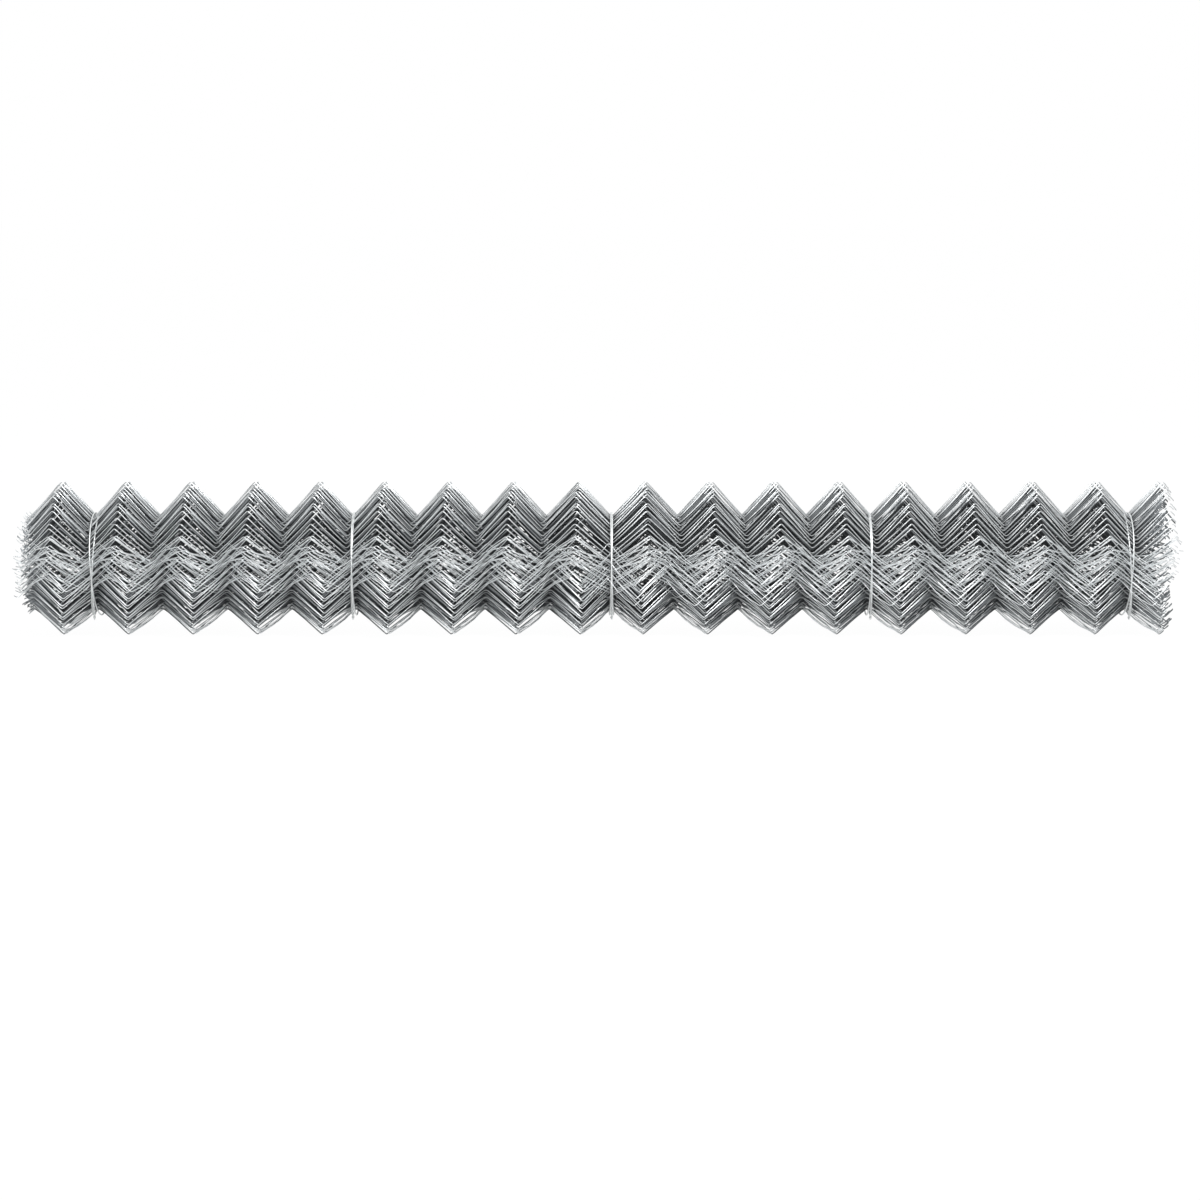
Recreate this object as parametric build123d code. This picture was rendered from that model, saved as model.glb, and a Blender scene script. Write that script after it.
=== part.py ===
from build123d import *
import os
from math import atan2, cos, hypot, pi, radians, sin, sqrt

# A roll of chain-link fence as it is sold: the mesh is pushed together, rolled up and tied.
# The roll lies on its side along X. Z is up, and the ties are closed on the -Y side.
# Each picket is one long wire bent into a flat spiral. Its strands run one way in front
# and the other way behind, and the wire turns round in a knuckle at each edge.
# In the roll every picket stands out from the core like a page of an open book. They stand
# straight up on top, lean away from a parting half way up the front and the back, and splay
# under the roll's weight at the bottom, where the lowest ones rest on the ground.
# The inner knuckles lie in the valleys that the ties draw in, and the outer ones make the ridges.
# Sizes are in millimetres and angles in degrees.

# The mesh
mesh_size = 60.0                # clear width of one square opening, measured along its strands
diamonds = 17                   # whole openings from the bottom of the fence to its top
wire_diameter = 1.8
picket_width = 43.0             # from inner to outer knuckles, between the wire's centres
strand_gap = 4.8                # between the front and the back strands, centre to centre
knuckle_width = 3.2             # the short stretch of wire that turns round at an outer knuckle

# The roll
core_radius = 63.0              # to the wire's centre at the inner knuckles
pickets = 40                    # wires modelled in the outer turn
parting_angle = 15.0            # height of the parting on the front and the back, above the axis
parting_lean = 50.0             # how far the pickets beside the parting lean over from the radius
bottom_splay = 54.0             # how far the lowest pickets lean over, away from each other

# The ends of the wires, bent over by hand-sized pliers so that they don't scratch
bottom_stub = 9.0               # how far the wire runs on past its first inner knuckle
hook_return = 9.0               # the last stretch, turned back after the end knuckle
hook_spread = 2.2               # how far that stretch leans away from its own strand

# The ties
ties = 5
diamonds_between_ties = 4
first_tie_diamond = 1
tie_diameter = 2.4
tie_facets = 20                 # straight stretches round a tie
tie_clearance = 0.7             # between a tie and the strands in its valley
tail_angle = -27.0              # where the twisted ends leave the ring, from -Y towards the top
tail_length = 52.0
tail_wires = 2                  # both ends of the tie lie in the twist

# Sections with few sides have the same area as the round wire
wire_sides = 3
tie_sides = 4


def equal_area_radius(diameter, sides):
    """Return the corner radius of a polygon with the area of a round wire."""
    return sqrt(pi * diameter ** 2 / 4 / (sides / 2 * sin(2 * pi / sides)))


period = mesh_size * sqrt(2)
half_period = period / 2
wire_corner = equal_area_radius(wire_diameter, wire_sides)
wire_flat = wire_corner * cos(pi / wire_sides)
wire_half_side = wire_corner * sin(pi / wire_sides)
tie_corner = equal_area_radius(tie_diameter, tie_sides)
strand_run = half_period - knuckle_width / 2
strand_slope = atan2(picket_width, strand_run)
roll_length = (diamonds + 0.5) * period


def picket_points():
    """Return the corners of one wire: X along the roll, Y out from the core, Z across."""
    depth = strand_gap / 2
    start = -roll_length / 2
    rise = bottom_stub * sin(strand_slope)
    points = [(start - bottom_stub * cos(strand_slope), rise, -depth * rise / picket_width)]
    for index in range(diamonds + 1):
        inner = start + index * period
        outer = inner + half_period
        points.append((inner, 0, 0))
        points.append((outer - knuckle_width / 2, picket_width, depth))
        points.append((outer + knuckle_width / 2, picket_width, -depth))
    points.append((outer + knuckle_width / 2 + hook_spread, picket_width - hook_return, -depth))
    return points


def make_picket():
    """Sweep the wire's section along its corners, with one flat side facing outwards."""
    points = picket_points()
    path = Polyline(*points)
    direction = path % 0
    outward = Vector(0, 0, 1).cross(direction)
    section_plane = Plane(origin=points[0], x_dir=outward, z_dir=direction)
    section = section_plane * RegularPolygon(wire_corner, wire_sides, rotation=180)
    return sweep(section, path=path, transition=Transition.RIGHT)


def lean_at(angle):
    """Return how far a picket leans over from its radius, positive towards the back over the top."""
    on_front = cos(radians(angle)) > 0
    height_angle = (angle + 180) % 360 - 180 if on_front else 180 - angle
    if height_angle > parting_angle:
        towards_top = parting_lean * (90 - height_angle) / (90 - parting_angle)
    else:
        share = (height_angle + 90) / (parting_angle + 90)
        towards_top = bottom_splay - (bottom_splay + parting_lean) * share
    return towards_top if on_front else -towards_top


def place_picket(picket, angle):
    """Stand a picket on the core at an angle from -Y, leaning over from the radius."""
    foot = Location((0, -core_radius * cos(radians(angle)), core_radius * sin(radians(angle))))
    lean = Location((0, 0, 0), (1, 0, 0), 180 - angle - lean_at(angle))
    return (foot * lean) * picket


def tie_centre_radius(lean):
    """Return how far from the axis a tie lies when it is drawn into a leaning picket's valley."""
    tilt = radians(lean)
    above_knuckle = (wire_flat + tie_clearance) / cos(strand_slope) + tie_corner / cos(tilt)
    above_knuckle += wire_half_side * abs(sin(tilt)) / cos(tilt)
    along = core_radius + above_knuckle * cos(tilt)
    return hypot(along, above_knuckle * sin(tilt))


def make_tie(centre):
    """Make one loop of wire round the valley at a place on X, with its twisted ends."""
    facet = 360 / tie_facets
    middle_radius = tie_radius * cos(radians(picket_step / 2))
    corner_radius = middle_radius / cos(radians(facet / 2))
    corners = []
    for index in range(tie_facets):
        angle = radians(picket_step + facet * (index - 0.5))
        corners.append((centre, -corner_radius * cos(angle), corner_radius * sin(angle)))
    loop_path = Polyline(*corners, close=True)
    loop_start = Plane(origin=loop_path @ 0, x_dir=(1, 0, 0), z_dir=loop_path % 0)
    loop_section = loop_start * RegularPolygon(tie_corner, tie_sides)
    loop = sweep(loop_section, path=loop_path, transition=Transition.RIGHT)

    tail_corner = tie_corner * sqrt(tail_wires)
    tail_radius = middle_radius + tail_corner - tie_corner
    turn = radians(tail_angle)
    down_the_front = Vector(0, -sin(turn), -cos(turn))
    tail_origin = Vector(centre, -tail_radius * cos(turn), tail_radius * sin(turn))
    tail_start = Plane(origin=tail_origin, x_dir=(1, 0, 0), z_dir=down_the_front)
    tail = extrude(tail_start * RegularPolygon(tail_corner, tie_sides), amount=tail_length)
    return loop + tail


picket = make_picket()
picket_box = picket.bounding_box()
roll_shift = -(picket_box.min.X + picket_box.max.X) / 2
picket = picket.moved(Location((roll_shift, 0, 0)))
picket_step = 360 / pickets
angles = [(number + 0.5) * picket_step for number in range(pickets)]
tie_radius = max(tie_centre_radius(lean_at(angle)) for angle in angles)

pieces = {}
for number, angle in enumerate(angles):
    pieces[f"picket_{number + 1:02d}"] = place_picket(picket, angle)
for number in range(ties):
    valley = first_tie_diamond + number * diamonds_between_ties
    pieces[f"tie_{number + 1}"] = make_tie(valley * period - roll_length / 2 + roll_shift)

# The roll lies on the outer knuckles of its lowest pickets, with the origin under its middle
lowest = min(piece.bounding_box().min.Z for piece in pieces.values())

os.makedirs("parts", exist_ok=True)
for name, piece in pieces.items():
    resting = piece.moved(Location((0, 0, -lowest)))
    resting.label = name
    export_step(resting, f"parts/{name}.step")
print("pickets", pickets, "length", round(picket_box.size.X, 1), "core height", round(-lowest, 2))
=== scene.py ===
# %% [markdown]
# A tied roll of chain-link fence
#
# The real object is a length of wire mesh, pushed together until its diamonds close, rolled up
# and held by five wire ties. Solid parts of the roll are already there as a fixed frame. This
# lesson dresses that frame: it models one wire well, copies it round the roll, models the ties,
# and gives everything a zinc finish, soft light and a camera. X runs along the roll, Z is up, the
# front faces -Y, and lengths are in metres.

# %% Load the frame
import math
import random

import bpy
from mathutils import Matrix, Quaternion, Vector


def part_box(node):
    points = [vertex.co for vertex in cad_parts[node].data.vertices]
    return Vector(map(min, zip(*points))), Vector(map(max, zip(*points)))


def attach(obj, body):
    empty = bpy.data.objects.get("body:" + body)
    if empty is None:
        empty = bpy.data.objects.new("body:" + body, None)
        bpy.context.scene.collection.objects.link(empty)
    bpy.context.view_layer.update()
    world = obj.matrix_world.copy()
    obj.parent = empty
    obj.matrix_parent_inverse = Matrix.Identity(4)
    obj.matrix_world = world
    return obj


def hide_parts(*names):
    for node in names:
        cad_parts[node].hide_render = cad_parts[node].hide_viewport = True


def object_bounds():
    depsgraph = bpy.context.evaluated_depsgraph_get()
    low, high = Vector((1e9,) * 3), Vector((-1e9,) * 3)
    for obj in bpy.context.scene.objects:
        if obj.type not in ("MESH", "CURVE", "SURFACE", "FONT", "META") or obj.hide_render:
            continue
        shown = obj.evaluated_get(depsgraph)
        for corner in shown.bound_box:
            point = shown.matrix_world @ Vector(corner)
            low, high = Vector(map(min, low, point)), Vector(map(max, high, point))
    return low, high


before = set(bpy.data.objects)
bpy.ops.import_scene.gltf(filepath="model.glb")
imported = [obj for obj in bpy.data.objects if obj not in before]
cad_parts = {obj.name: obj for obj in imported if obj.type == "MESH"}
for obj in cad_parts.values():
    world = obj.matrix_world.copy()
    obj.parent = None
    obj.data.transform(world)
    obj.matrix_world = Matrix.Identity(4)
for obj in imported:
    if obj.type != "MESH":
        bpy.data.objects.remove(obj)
cad_low, cad_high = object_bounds()
bpy.ops.object.select_all(action="DESELECT")
print("The frame holds", len(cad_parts), "solid parts")

# %% [markdown]
# The frame gives the sizes, so no length of the roll is typed twice. The ties lie in every
# fourth valley of the mesh, which gives the length of one diamond. A tie is round, so its top
# and its width give the height of the core's axis. The picket that stands at the top shows how
# far from that axis the inner knuckles lie, and how wide a picket is. The wires here are thinner
# than the solid ones, so that the dark gaps between them stay open.

# %% Measure the roll
wire_thickness = 0.0012
diamonds_between_ties = 4
top_picket = "picket_10"

tie_names = sorted(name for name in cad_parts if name.startswith("tie_"))
picket_names = sorted(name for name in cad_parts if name.startswith("picket_"))
tie_boxes = [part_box(name) for name in tie_names]
tie_places = [(low.x + high.x) / 2 for low, high in tie_boxes]
period = (tie_places[-1] - tie_places[0]) / (diamonds_between_ties * (len(tie_names) - 1))
first_valley = tie_places[0] - period
tie_low, tie_high = tie_boxes[0]
tie_outer_radius = (tie_high.y - tie_low.y) / 2
axis_height = tie_high.z - tie_outer_radius
top_low, top_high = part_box(top_picket)
foot_radius = top_low.z + wire_thickness / 2 - axis_height
picket_width = top_high.z - top_low.z - wire_thickness
diamonds = round((cad_high.x - cad_low.x) / period)
middle_tie = tie_places[len(tie_places) // 2]
diamonds_left = round((middle_tie - first_valley) / period)
print(f"A diamond is {period:.4f} long, and the axis lies {axis_height:.4f} above the floor")
print(f"The feet lie {foot_radius:.4f} from the axis, and a picket is {picket_width:.4f} wide")

# %% [markdown]
# A bent wire could be a round face swept by hand, but a line with a thickness is easier to
# change. So the centre line of one diamond is drawn as a chain of extruded points, its corners
# are rounded with a vertex bevel, and the line is then turned into a curve with a round section
# and back into a mesh. The wire is a flattened spiral: one strand climbs in front, the outer
# knuckle turns round to the back, and the next strand comes down behind. The middle of a strand
# bows a little, because no wire is quite straight.

# %% Draw one diamond of the wire
half_period = period / 2
strand_gap = 0.0030
knuckle_width = 0.0024
same_place = 1e-5
bow_bend = half_period / 5
valley_segments = 3
bow_segments = 1
ridge_segments = 2


def extrude_line(corners):
    """Draw a chain of edges through the corners, as one new mesh object."""
    bpy.ops.mesh.primitive_plane_add(size=wire_thickness)
    bpy.ops.object.mode_set(mode="EDIT")
    bpy.ops.mesh.merge(type="CENTER")
    bpy.ops.transform.translate(value=corners[0])
    for here, after in zip(corners, corners[1:]):
        bpy.ops.mesh.extrude_region_move(TRANSFORM_OT_translate={"value": after - here})
    bpy.ops.object.mode_set(mode="OBJECT")
    return bpy.context.object


def round_corners(line, corners, offset, segments):
    """Bevel the line's vertices that lie at the given corners, and no others."""
    bpy.ops.object.mode_set(mode="EDIT")
    bpy.ops.mesh.select_all(action="DESELECT")
    bpy.ops.object.mode_set(mode="OBJECT")
    for vertex in line.data.vertices:
        vertex.select = any((vertex.co - corner).length < same_place for corner in corners)
    bpy.ops.object.mode_set(mode="EDIT")
    bpy.ops.mesh.bevel(offset=offset, segments=segments, affect="VERTICES")
    bpy.ops.object.mode_set(mode="OBJECT")


def thicken_line(thickness, steps):
    """Give the active line a round section and make it a mesh tube again."""
    bpy.ops.object.convert(target="CURVE")
    line = bpy.context.object
    line.data.bevel_depth = thickness / 2
    line.data.bevel_resolution = steps
    line.data.twist_mode = "Z_UP"
    bpy.ops.object.convert(target="MESH")
    return bpy.context.object


def draw_diamond(shape):
    """Model one period of a picket: X along the roll, Y outwards, Z from front to back."""
    depth = strand_gap / 2
    climb_bow, fall_bow, width = shape["climb_bow"], shape["fall_bow"], shape["width"]
    fall_middle = Vector((-half_period / 2, width / 2 + fall_bow, -depth / 2 - fall_bow))
    valley = Vector((0, 0, 0))
    climb_middle = Vector((half_period / 2, width / 2 + climb_bow, depth / 2 + climb_bow))
    ridge_front = Vector((half_period - knuckle_width / 2, width, depth))
    ridge_back = Vector((half_period + knuckle_width / 2, width, -depth))
    next_middle = fall_middle + Vector((period, 0, 0))
    line = extrude_line([fall_middle, valley, climb_middle, ridge_front, ridge_back, next_middle])
    round_corners(line, [valley], shape["valley_bend"], valley_segments)
    round_corners(line, [climb_middle], bow_bend, bow_segments)
    round_corners(line, [ridge_front, ridge_back], shape["ridge_bend"], ridge_segments)
    return thicken_line(shape["thickness"], shape["section_steps"])


print(f"A ridge is {knuckle_width:.4f} wide, and the strands lie {strand_gap:.4f} apart")

# %% [markdown]
# The whole wire is the same diamond again and again, which is what the Array modifier does. Its
# copies meet in the middle of a straight strand, where their rings of points merge. In the
# photograph the two halves of the roll mirror each other, so the array runs one way from the
# middle tie's valley, and a Mirror modifier adds the other half. The ends are cut with a bisect:
# one just before the first valley, and one just after the last ridge, where the cut strand is
# left as a small hook.
#
# Wires of three kinds are made, a few of each. Most have nearly straight strands. Some sag, for
# the bottom of the roll and for its loose outer end. Those of the inner turns are thicker, so
# that fewer of them fill the roll, and have a square section, because they are hardly seen.

# %% Make whole wires in a few shapes
inner_thickness = 0.0019
inner_section_steps = 0
merge_distance = wire_thickness / 8
smooth_angle = math.radians(60)
width_shares = (0.94, 1.03)
valley_bends = (0.003, 0.005)
ridge_bends = (0.0012, 0.0026)
stub_lengths = (0.003, 0.008)
hook_lengths = (0.004, 0.009)
straight_count, straight_bows = 7, (-0.0012, 0.0016)
sagging_count, sagging_bows = 3, (0.0015, 0.0045)
inner_count, inner_bows = 4, (-0.0020, 0.0020)
dice = random.Random(11)


def cut_end(place, outwards):
    """Cut the active wire across X and close its end."""
    bpy.ops.object.mode_set(mode="EDIT")
    bpy.ops.mesh.select_all(action="SELECT")
    bpy.ops.mesh.bisect(plane_co=(place, 0, 0), plane_no=(outwards, 0, 0), clear_outer=True,
                        use_fill=True)
    bpy.ops.object.mode_set(mode="OBJECT")


def make_wire(bows, thickness=wire_thickness, section_steps=1):
    """Model one whole wire, a little different from the others, about its middle valley."""
    shape = {
        "thickness": thickness,
        "section_steps": section_steps,
        "climb_bow": dice.uniform(*bows),
        "fall_bow": dice.uniform(*bows),
        "width": picket_width * dice.uniform(*width_shares),
        "valley_bend": dice.uniform(*valley_bends),
        "ridge_bend": dice.uniform(*ridge_bends),
    }
    wire = draw_diamond(shape)
    wire.name = "wire_shape"
    array = wire.modifiers.new("diamonds", "ARRAY")
    array.use_relative_offset = False
    array.use_constant_offset = True
    array.constant_offset_displace = (period, 0, 0)
    array.count = diamonds_left + 1
    array.use_merge_vertices = True
    array.merge_threshold = merge_distance
    bpy.ops.object.modifier_apply(modifier=array.name)
    mirror = wire.modifiers.new("other_half", "MIRROR")
    mirror.use_bisect_axis[0] = True
    mirror.merge_threshold = merge_distance
    bpy.ops.object.modifier_apply(modifier=mirror.name)
    last_ridge = (diamonds - diamonds_left - 0.5) * period
    cut_end(-diamonds_left * period - dice.uniform(*stub_lengths), -1)
    cut_end(last_ridge + dice.uniform(*hook_lengths), 1)
    bpy.ops.object.shade_smooth_by_angle(angle=smooth_angle)
    return wire


straight_shapes = [make_wire(straight_bows) for _ in range(straight_count)]
sagging_shapes = [make_wire(sagging_bows) for _ in range(sagging_count)]
inner_shapes = [make_wire(inner_bows, inner_thickness, inner_section_steps)
                for _ in range(inner_count)]
print("An outer wire has", len(straight_shapes[0].data.polygons), "faces")
print("An inner wire has", len(inner_shapes[0].data.polygons), "faces")

# %% [markdown]
# In the roll the wires stand round a core like the pages of an open book. A page is given by the
# angle of its foot round the core, by how far it leans over from the radius, and by how far out
# its foot lies. Each page is a copy of one of the wire shapes, turned and moved, and the pages of
# one part of the roll are joined into one piece. The two halves of a wire can also be spread,
# which moves them a few millimetres away from the middle tie, or towards it.

# %% Place a wire and join wires
spread_reach = 1.5 * period
wires_made = 0


def between(value, stations):
    """Read a value off straight lines between (place, value) pairs."""
    for (a, x), (b, y) in zip(stations, stations[1:]):
        if value <= b:
            return x + (y - x) * max(0, value - a) / (b - a)
    return stations[-1][1]


def spread_wire(wire, spread):
    """Move a wire's two halves away from the middle tie, or towards it."""
    for vertex in wire.data.vertices:
        share = max(-1, min(1, vertex.co.x / spread_reach))
        vertex.co.x += spread * math.sin(share * math.pi / 2)


def place_wire(shapes, foot_angle, lean, radius, slide, spread=0.0):
    """Copy a wire shape and stand it on the core. Angles are in degrees, from the front up."""
    global wires_made
    wire = shapes[wires_made % len(shapes)].copy()
    wire.data = wire.data.copy()
    bpy.context.collection.objects.link(wire)
    if spread:
        spread_wire(wire, spread)
    foot = math.radians(foot_angle)
    wire.rotation_euler.x = math.pi - math.radians(foot_angle + lean)
    wire.location = (middle_tie + slide, -radius * math.cos(foot),
                     axis_height + radius * math.sin(foot))
    wires_made += 1
    return wire


def join_as_piece(name, parts):
    """Join parts into one piece whose object sits unturned at the origin."""
    bpy.ops.object.select_all(action="DESELECT")
    for part in parts:
        part.select_set(True)
    bpy.context.view_layer.objects.active = parts[0]
    bpy.ops.object.join()
    piece = bpy.context.object
    piece.name = name
    bpy.ops.object.transform_apply(location=True, rotation=True, scale=True)
    return piece


print(f"A wire's halves are fully spread {spread_reach:.3f} from the middle tie")

# %% [markdown]
# The outer turn has four families of wires. Above the parting, half way up the front and the
# back, the pages point up, and below it they point down. How far they lean changes with the
# height of their feet, so it is read off a short list of (foot angle, lean) pairs. A list is
# easier to change than a formula, and small random steps, the same in each run, keep the wires
# from looking stamped. The lowest wires sag, where the sine of their foot angle is below -0.75.
# The back repeats the front.
#
# For each family, depth sinks the feet towards the axis, jitter is how far the wires slide along
# the roll, and step is the angle from one foot to the next, in degrees.

# %% Stand the outer turn
outer_wires_per_turn = 62
sagging_below = -0.75
foot_scatter = 0.18
lean_scatter = 3.0
radius_scatter = 0.0006
slide_limit = 1.5
upper_leans = [(-34, 88), (-10, 64), (14, 46), (30, 48), (90, 2)]
lower_leans = [(-90, 55), (-60, 20), (-8, -40), (24, -68)]
lower_feet = {"depth": 0.003, "jitter": 0.001}


def stand_wires(name, start, end, leans, back=False, spread=0.0, depth=0.0, jitter=0.0015,
                step=360 / outer_wires_per_turn, shapes=None):
    """Stand one family of wires from one foot angle to another, and return them as a piece."""
    wires = []
    for index in range(int((end - start) / step) + 1):
        angle = start + index * step + dice.gauss(0, foot_scatter * step)
        lean = between(angle, leans) + dice.gauss(0, lean_scatter)
        radius = foot_radius - depth + dice.gauss(0, radius_scatter)
        apart = spread * (1 + math.cos(math.radians(angle))) / 2
        farthest = slide_limit * jitter
        slide = max(-farthest, min(farthest, dice.gauss(0, jitter)))
        sags = math.sin(math.radians(angle)) < sagging_below
        chosen = shapes or (sagging_shapes if sags else straight_shapes)
        wires.append(place_wire(chosen, 180 - angle, -lean, radius, slide) if back
                     else place_wire(chosen, angle, lean, radius, slide, apart))
    return join_as_piece(name, wires)


families = [
    stand_wires("wires_upper_front", start=-34, end=88, leans=upper_leans, spread=0.008),
    stand_wires("wires_upper_back", start=-34, end=92, leans=upper_leans, back=True),
    stand_wires("wires_lower_front", start=-86, end=24, leans=lower_leans, spread=-0.006,
                **lower_feet),
    stand_wires("wires_lower_back", start=-86, end=24, leans=lower_leans, back=True,
                **lower_feet),
]
print("The outer turn has", wires_made, "wires")

# %% [markdown]
# The outermost end of the fence lies over the start of that turn, so loose wires cross the others
# beside the parting in a lattice. They stand as the families do, but they sag, slide about more,
# and lie a little further out. One set points nearly straight out and lies deeper. The back has
# one set of them.

# %% Lay the loose wires across
loose = {"jitter": 0.004, "shapes": sagging_shapes}
outside = {"depth": -0.002, "step": 7, **loose}
behind = {"depth": 0.008, "step": 5, **loose}
pointing_up = [(-40, 80), (10, 40)]
pointing_down = [(-10, -40), (34, -72)]
pointing_out = [(-4, 30), (16, 8)]

overlaps = [
    stand_wires("wires_overlap_upper", start=-40, end=10, leans=pointing_up, spread=0.009,
                **outside),
    stand_wires("wires_overlap_lower", start=-10, end=34, leans=pointing_down, spread=-0.012,
                **outside),
    stand_wires("wires_overlap_flat", start=-4, end=16, leans=pointing_out, spread=0.006,
                **behind),
    stand_wires("wires_overlap_back", start=-40, end=10, leans=pointing_up, back=True,
                **outside),
]
print("With the loose ones, there are", wires_made, "wires outside")

# %% [markdown]
# Inside, the fence goes on in smaller turns, which are seen through the gaps of the outer turn
# and at the ends. The first two are parted as the outer turn is. In the others the wires lean far
# over, all one way in one turn and the other way in the next. That closes the view through the
# roll, which stays open if every turn is parted at the same height.

# %% Fill the inner turns
turn_depths = [0.006, 0.012, 0.014, 0.019, 0.026, 0.034, 0.043, 0.052]
inner_wires_per_turn = 46
parted_turns = 2
inner_parting = 8
inner_lean = 68
inner_foot_scatter = 0.5
parted_lean_scatter = 5
one_way_lean_scatter = 8
inner_slide_scatter = 0.003
inner_radius_scatter = 0.001


def stand_inner_turn(number, depth):
    """Stand one whole inner turn of wires, parted like the outer turn or leaning all one way."""
    radius = foot_radius - depth
    count = round(inner_wires_per_turn * radius / foot_radius)
    wires = []
    for index in range(count):
        angle = 360 * (index + dice.random() * inner_foot_scatter) / count - 90
        on_front = angle < 90
        if number <= parted_turns:
            height_angle = angle if on_front else 180 - angle
            leans = upper_leans if height_angle > inner_parting else lower_leans
            lean = between(height_angle, leans) * (1 if on_front else -1)
            lean += dice.gauss(0, parted_lean_scatter)
        else:
            lean = dice.gauss(inner_lean, one_way_lean_scatter) * (1 if number % 2 else -1)
        slide = dice.gauss(0, inner_slide_scatter)
        foot = radius + dice.gauss(0, inner_radius_scatter)
        wires.append(place_wire(inner_shapes, angle, lean, foot, slide))
    return join_as_piece(f"wires_inner_turn_{number}", wires)


inner_pieces = [stand_inner_turn(number, depth)
                for number, depth in enumerate(turn_depths, start=1)]
bpy.ops.object.select_all(action="DESELECT")
for shape in straight_shapes + sagging_shapes + inner_shapes:
    bpy.data.objects.remove(shape)
print("The roll has", wires_made, "wires")

# %% [markdown]
# Each tie is a soft wire that goes round twice. Its two strands lie side by side, cross a little
# at an angle, more on the two end ties, and end in a twisted tail on the lower front. A torus
# makes a strand, because it is a closed ring from the start. The tail could be drawn as two
# spirals, but a pair of straight extruded rods that a Simple Deform modifier twists is simpler.

# %% Model the ties
tie_strand = 0.0019
tie_inset = 0.0015
tie_ring_radius = tie_outer_radius - tie_inset
tie_ring_steps = 80
tie_sides = 8
tie_crossing = math.radians(1.6)
end_tie_crossing = tie_crossing * 2.5
tail_angle = math.radians(-27)
tail_length = 0.042
tail_turns = 4
tail_steps = 28


def make_strand(place, side, crossing):
    """Model one strand of a tie, turned a little about the line to where its tail begins."""
    bpy.ops.mesh.primitive_torus_add(
        rotation=(0, math.pi / 2, 0), major_radius=tie_ring_radius, minor_radius=tie_strand / 2,
        major_segments=tie_ring_steps, minor_segments=tie_sides)
    strand = bpy.context.object
    bpy.ops.object.transform_apply(location=True, rotation=True, scale=True)
    towards_tail = Vector((0, -math.cos(tail_angle), math.sin(tail_angle)))
    strand.rotation_euler = Quaternion(towards_tail, side * crossing).to_euler()
    strand.location = (place + side * tie_strand / 2, 0, axis_height)
    return strand


def make_rod(side):
    """Model one of the two straight rods that a tail is twisted from."""
    bpy.ops.mesh.primitive_circle_add(vertices=tie_sides, radius=tie_strand / 2,
                                      fill_type="NGON", location=(side * tie_strand / 2, 0, 0))
    bpy.ops.object.mode_set(mode="EDIT")
    for _ in range(tail_steps):
        step = {"value": (0, 0, tail_length / tail_steps)}
        bpy.ops.mesh.extrude_region_move(TRANSFORM_OT_translate=step)
    bpy.ops.mesh.select_all(action="SELECT")
    bpy.ops.mesh.normals_make_consistent(inside=False)
    bpy.ops.object.mode_set(mode="OBJECT")
    return bpy.context.object


def make_tail(place):
    """Model the twisted ends of a tie, which run down the front."""
    tail = join_as_piece("tail", [make_rod(-1), make_rod(1)])
    twist = tail.modifiers.new("twist", "SIMPLE_DEFORM")
    twist.deform_method = "TWIST"
    twist.deform_axis = "Z"
    twist.angle = tail_turns * math.tau
    bpy.ops.object.modifier_apply(modifier=twist.name)
    along = Vector((0, -math.sin(tail_angle), -math.cos(tail_angle)))
    reach = tie_ring_radius + tie_strand / 3
    tail.rotation_euler = along.to_track_quat("Z", "X").to_euler()
    tail.location = (place, -reach * math.cos(tail_angle),
                     axis_height + reach * math.sin(tail_angle))
    return tail


def make_tie(number, place):
    """Model one tie: two strands round the roll and their twisted ends."""
    crossing = end_tie_crossing if number in (1, len(tie_places)) else tie_crossing
    parts = [make_strand(place, -1, crossing), make_strand(place, 1, crossing), make_tail(place)]
    tie = join_as_piece(f"tie_{number}_wire", parts)
    bpy.ops.object.shade_smooth_by_angle(angle=smooth_angle)
    return tie


tie_pieces = [make_tie(number, place) for number, place in enumerate(tie_places, start=1)]
print("A tie has", len(tie_pieces[0].data.polygons), "faces")

# %% [markdown]
# Materials are made of nodes. A few small helpers add a node, feed it with sockets or plain
# numbers, and return its result, so that a finish reads like a sentence. A Mix node has sockets
# of one name for each kind of data, so its colour sockets are found by their number.

# %% Helpers for nodes
mix_colour_a, mix_colour_b, mix_colour_result = 6, 7, 2


def feed(tree, socket, value):
    """Give a socket a plain number, or link it to the socket that is given."""
    if isinstance(value, (int, float)):
        socket.default_value = value
    else:
        tree.links.new(value, socket)


def add_math(tree, operation, *values):
    """Add a Math node on one or two values, and return its result."""
    node = tree.nodes.new("ShaderNodeMath")
    node.operation = operation
    for socket, value in zip(node.inputs, values):
        feed(tree, socket, value)
    return node.outputs[0]


def add_range(tree, value, limits):
    """Add a Map Range node with the limits that are given, and return its result."""
    node = tree.nodes.new("ShaderNodeMapRange")
    feed(tree, node.inputs["Value"], value)
    for name, limit in limits.items():
        feed(tree, node.inputs[name], limit)
    return node.outputs[0]


def add_noise(tree, place, scale, detail):
    """Add a Noise texture and return its value."""
    node = tree.nodes.new("ShaderNodeTexNoise")
    node.inputs["Scale"].default_value = scale
    node.inputs["Detail"].default_value = detail
    tree.links.new(place, node.inputs["Vector"])
    return node.outputs["Fac"]


def mix_colours(tree, factor, first, second):
    """Mix two colours by a factor, and return the result."""
    node = tree.nodes.new("ShaderNodeMix")
    node.data_type = "RGBA"
    tree.links.new(factor, node.inputs["Factor"])
    tree.links.new(first, node.inputs[mix_colour_a])
    tree.links.new(second, node.inputs[mix_colour_b])
    return node.outputs[mix_colour_result]


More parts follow.
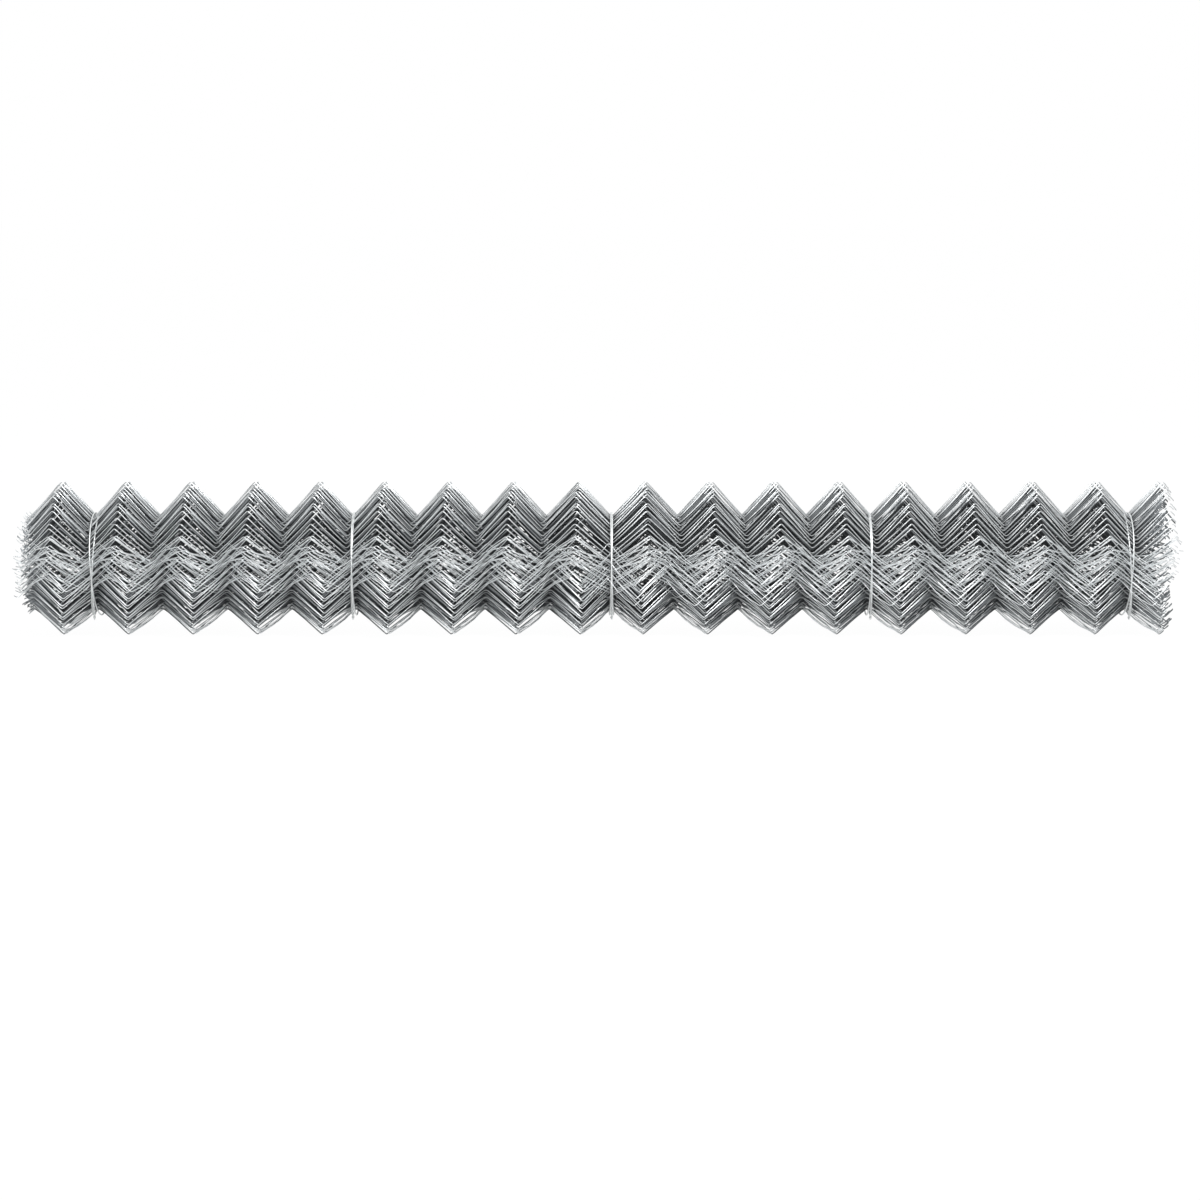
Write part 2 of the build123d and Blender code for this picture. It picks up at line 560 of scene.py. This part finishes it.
def new_group(name, inputs, outputs):
    """Start a shader node group whose sockets are given as a name and a kind."""
    group = bpy.data.node_groups.new(name, "ShaderNodeTree")
    for socket_name, kind in inputs.items():
        group.interface.new_socket(socket_name, in_out="INPUT", socket_type=f"NodeSocket{kind}")
    for socket_name, kind in outputs.items():
        group.interface.new_socket(socket_name, in_out="OUTPUT", socket_type=f"NodeSocket{kind}")
    return group, group.nodes.new("NodeGroupInput"), group.nodes.new("NodeGroupOutput")


print("The helpers for nodes are ready")

# %% [markdown]
# Hot-dipped zinc is a soft grey metal. It is brighter where the drawn wire was rubbed against
# its neighbour, and duller where it has bloomed. Deep in the roll the wires are painted dark, as
# painted shade for the many wires that shade each other there, and at the two open ends the
# painted shade fades out. All the wires share this finish and painted shade, so it is one node
# group, which each material uses with its own colours. It reads the place on the roll, so the
# finish stays where it is when the camera moves.

# %% Zinc finish and painted shade
patch_scale, patch_detail = 160, 3
grain_scale, grain_detail = 1500, 2
grain_strength, grain_height = 0.15, 0.0002
smoothest, roughest = 0.30, 0.55
end_fade = 0.04


def distance_from_axis(group, apart, axis):
    """Return how far a point lies from the roll's axis, from its three coordinates."""
    across = group.nodes.new("ShaderNodeCombineXYZ")
    above_axis = add_math(group, "SUBTRACT", apart.outputs["Z"], axis)
    feed(group, across.inputs["Y"], apart.outputs["Y"])
    feed(group, across.inputs["Z"], above_axis)
    radius = group.nodes.new("ShaderNodeVectorMath")
    radius.operation = "LENGTH"
    feed(group, radius.inputs[0], across.outputs[0])
    return radius.outputs["Value"]


def zinc_group():
    """Make the zinc finish and its painted shade: a colour, a roughness and a normal, by place on
    the roll.
    """
    group, entry, leave = new_group(
        "zinc_finish_and_painted_shade",
        {"Bright": "Color", "Dull": "Color", "Painted Shade": "Color", "Axis Height": "Float",
         "Full Shade Below": "Float", "Shade Gone Above": "Float", "Open End": "Float"},
        {"Color": "Color", "Roughness": "Float", "Normal": "Vector"})
    given = entry.outputs
    place = group.nodes.new("ShaderNodeTexCoord").outputs["Object"]
    apart = group.nodes.new("ShaderNodeSeparateXYZ")
    feed(group, apart.inputs[0], place)
    radius = distance_from_axis(group, apart, given["Axis Height"])
    # Painted shade: near the roll's axis, where the wires shade each other, the colour turns to
    # the painted-shade colour.
    outside_painted_shade = add_range(group, radius, {"From Min": given["Full Shade Below"],
                                             "From Max": given["Shade Gone Above"]})
    # At the two open ends the painted shade fades out again.
    along = add_math(group, "ABSOLUTE", apart.outputs["X"])
    past_end = add_math(group, "SUBTRACT", along, given["Open End"])
    at_end = add_range(group, past_end, {"From Max": end_fade})
    free_of_painted_shade = add_math(group, "MAXIMUM", outside_painted_shade, at_end)
    patches = add_noise(group, place, patch_scale, patch_detail)
    bloom = mix_colours(group, patches, given["Bright"], given["Dull"])
    feed(group, leave.inputs["Color"], mix_colours(group, free_of_painted_shade, given["Painted Shade"], bloom))
    rough = add_range(group, patches, {"To Min": smoothest, "To Max": roughest})
    feed(group, leave.inputs["Roughness"], rough)
    bump = group.nodes.new("ShaderNodeBump")
    bump.inputs["Strength"].default_value = grain_strength
    bump.inputs["Distance"].default_value = grain_height
    feed(group, bump.inputs["Height"], add_noise(group, place, grain_scale, grain_detail))
    feed(group, leave.inputs["Normal"], bump.outputs[0])
    return group


# This group paints shade into the colour as well as giving the zinc its finish.
zinc_and_painted_shade = zinc_group()
print("The zinc finish has", len(zinc_and_painted_shade.nodes), "nodes")

# %% [markdown]
# Four materials use the finish. The outer wires are bright, with painted shade only at the core.
# The first inner turn is painted darker all over, as painted shade for the wires in front of it,
# and the other inner turns are painted dark all over, as painted shade, but for the open ends.
# The ties are bright all round, so they stand out.

# %% Give the finish to four materials
open_end = tie_places[-1] + 0.010
shading_depth = 0.020
# A near-black colour of painted shade, for the core, where many wires shade each other.
painted_core_shade = (0.03, 0.033, 0.035, 1)


def zinc_material(name, metallic, bright, dull, painted_shade, shade_gone_above=0.070):
    """Make a material that uses the zinc finish with its own colours, and its own colour of
    painted shade.
    """
    material = bpy.data.materials.new(name)
    material.use_nodes = True
    tree = material.node_tree
    shader = tree.nodes["Principled BSDF"]
    shader.inputs["Metallic"].default_value = metallic
    zinc = tree.nodes.new("ShaderNodeGroup")
    zinc.node_tree = zinc_and_painted_shade
    zinc.inputs["Bright"].default_value = bright
    zinc.inputs["Dull"].default_value = dull
    zinc.inputs["Painted Shade"].default_value = painted_shade
    zinc.inputs["Axis Height"].default_value = axis_height
    zinc.inputs["Full Shade Below"].default_value = shade_gone_above - shading_depth
    zinc.inputs["Shade Gone Above"].default_value = shade_gone_above
    zinc.inputs["Open End"].default_value = open_end
    tree.links.new(zinc.outputs["Color"], shader.inputs["Base Color"])
    tree.links.new(zinc.outputs["Roughness"], shader.inputs["Roughness"])
    tree.links.new(zinc.outputs["Normal"], shader.inputs["Normal"])
    return material


wire_zinc = zinc_material(
    "galvanised_wire", metallic=0.7, bright=(0.92, 0.94, 0.95, 1), dull=(0.66, 0.69, 0.70, 1),
    painted_shade=painted_core_shade)
# Painted darker all over: painted shade for the first inner turn, which the outer wires shade.
middle_painted_shade_zinc = zinc_material(
    "galvanised_wire_behind_painted_shade", metallic=0.7, bright=(0.25, 0.265, 0.275, 1),
    dull=(0.17, 0.18, 0.187, 1), painted_shade=painted_core_shade)
# Painted dark all over but at the open ends: painted shade for the inner turns.
inner_painted_shade_zinc = zinc_material(
    "galvanised_wire_inside_painted_shade", metallic=0.5, bright=(0.30, 0.325, 0.345, 1),
    dull=(0.22, 0.24, 0.255, 1), painted_shade=(0.05, 0.055, 0.058, 1), shade_gone_above=0.200)
# The ties' colour of painted shade is their dull colour, so no shade is painted on them.
tie_zinc = zinc_material(
    "tie_wire", metallic=0.7, bright=(0.86, 0.88, 0.88, 1), dull=(0.70, 0.72, 0.72, 1),
    painted_shade=(0.70, 0.72, 0.72, 1))
print(f"The open ends begin {open_end:.3f} from the middle")

# %% [markdown]
# Each piece rides on the frame's one body. The four outer families and the ties say which solid
# parts they stand for. The pickets are numbered round the roll from the front over the top, so
# each family stands for a run of numbers. The other wires have no solid part of their own.

# %% Join the pieces to the frame
def take_place(piece, nodes, material):
    """Give a piece its finish and its body, and let it stand for solid parts."""
    piece.data.materials.clear()
    piece.data.materials.append(material)
    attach(piece, "root")
    if nodes:
        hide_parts(*nodes)


def pickets_between(first, last):
    """Return the names of the pickets from one number to another."""
    return [name for name in picket_names if first <= int(name[-2:]) <= last]


upper_front = pickets_between(3, 10)
upper_back = pickets_between(11, 18)
lower_back = pickets_between(19, 30)
lower_front = [name for name in picket_names if name not in upper_front + upper_back + lower_back]
# The inner turns get the materials with painted shade.
inner_painted_shade_materials = [middle_painted_shade_zinc] + [inner_painted_shade_zinc] * (len(inner_pieces) - 1)

for piece, nodes in zip(families, [upper_front, upper_back, lower_front, lower_back]):
    take_place(piece, nodes, wire_zinc)
for piece, material in zip(inner_pieces, inner_painted_shade_materials):
    take_place(piece, [], material)
for piece in overlaps:
    take_place(piece, [], wire_zinc)
for piece, name in zip(tie_pieces, tie_names):
    take_place(piece, [name], tie_zinc)

pieces = families + inner_pieces + overlaps + tie_pieces
triangles = sum(len(face.vertices) - 2 for piece in pieces for face in piece.data.polygons)
print("The model has", len(pieces), "pieces and", triangles, "triangles")

# %% [markdown]
# The roll lies on a white floor that fades into a white background, and only a faint shadow is
# left under it. A brighter lamp would whiten the floor, but would bleach the wires as well. So
# the floor glows for the rays that the camera sees, straight or in a reflection, and stays a
# plain pale surface for the light that falls on the wires. The air around is dimmed for that
# light in the same way.

# %% Floor and background
floor_size = 60
floor_colour = (0.85, 0.85, 0.85, 1)
glow_strength = 1.04
floor_lift = 0.94
air_light = 0.35

bpy.ops.mesh.primitive_plane_add(size=floor_size)
floor = bpy.context.object
floor.name = "studio_floor"


def seen_directly(tree):
    """Return a socket that is 1 for the rays that show the background, and 0 for light's."""
    rays = tree.nodes.new("ShaderNodeLightPath").outputs
    camera_or_glossy = add_math(tree, "MAXIMUM", rays["Is Camera Ray"], rays["Is Glossy Ray"])
    return add_math(tree, "MAXIMUM", camera_or_glossy, rays["Is Transmission Ray"])


white = bpy.data.materials.new("studio_white")
white.use_nodes = True
tree = white.node_tree
surface = tree.nodes["Principled BSDF"]
surface.inputs["Base Color"].default_value = floor_colour
surface.inputs["Roughness"].default_value = 0.9
glow = tree.nodes.new("ShaderNodeEmission")
glow.inputs["Strength"].default_value = glow_strength
mix = tree.nodes.new("ShaderNodeMixShader")
tree.links.new(add_math(tree, "MULTIPLY", seen_directly(tree), floor_lift), mix.inputs[0])
tree.links.new(surface.outputs[0], mix.inputs[1])
tree.links.new(glow.outputs[0], mix.inputs[2])
tree.links.new(mix.outputs[0], tree.nodes["Material Output"].inputs[0])
floor.data.materials.append(white)

world = bpy.data.worlds.new("studio_air")
bpy.context.scene.world = world
world.use_nodes = True
tree = world.node_tree
air = tree.nodes["Background"]
air.inputs["Color"].default_value = (1, 1, 1, 1)
tree.links.new(add_range(tree, seen_directly(tree), {"To Min": air_light}),
               air.inputs["Strength"])
print("The air gives", air_light, "of full light to the wires")

# %% [markdown]
# Two soft square lamps light the roll from the front. One stands high on the right and draws
# bright lines along the upper wires. The other stands lower, on the left, and lights the shade
# that the first one leaves.

# %% Lamps
def add_lamp(name, place, size, power):
    """Add a soft square lamp that faces the roll."""
    bpy.ops.object.light_add(type="AREA", location=place)
    lamp = bpy.context.object
    lamp.name = name
    lamp.data.size = size
    lamp.data.energy = power
    aim = Vector((0, 0, axis_height)) - Vector(place)
    lamp.rotation_euler = aim.to_track_quat("-Z", "Y").to_euler()


add_lamp("lamp_above", place=(0.8, -1.4, 2.5), size=1.0, power=60)
add_lamp("lamp_front", place=(-1.6, -2.6, 1.2), size=0.8, power=34)
print("There are", len(bpy.data.lights), "lamps")

# %% [markdown]
# The camera looks at the front from a little above, and from far away, because the diamonds in
# the photograph are all nearly one size. The length of a diamond there, in pixels, gives the
# scale, and so the lens. A small shift puts the roll at its height in the photograph.

# %% Camera
photo_width = 1200
photo_diamond = 64.2
photo_pixel = period / photo_diamond
roll_centre_x = 594.7
roll_axis_y = 557
camera_distance = 5.0
camera_elevation = math.radians(6)
aim_lift = 0.009

bpy.ops.object.camera_add()
camera = bpy.context.object
aim_x = (photo_width / 2 - roll_centre_x) * photo_pixel
aim_point = Vector((aim_x, 0, axis_height + aim_lift))
back = Vector((0, -math.cos(camera_elevation), math.sin(camera_elevation)))
camera.location = aim_point + camera_distance * back
camera.rotation_euler = (-back).to_track_quat("-Z", "Y").to_euler()
half_view = math.atan(photo_width / 2 * photo_pixel / camera_distance)
camera.data.lens = camera.data.sensor_width / 2 / math.tan(half_view)
camera.data.shift_y = -(photo_width / 2 - roll_axis_y) / photo_width
bpy.context.scene.camera = camera
bpy.context.scene.view_settings.view_transform = "Standard"
print(f"The camera's lens is {camera.data.lens:.1f} mm")
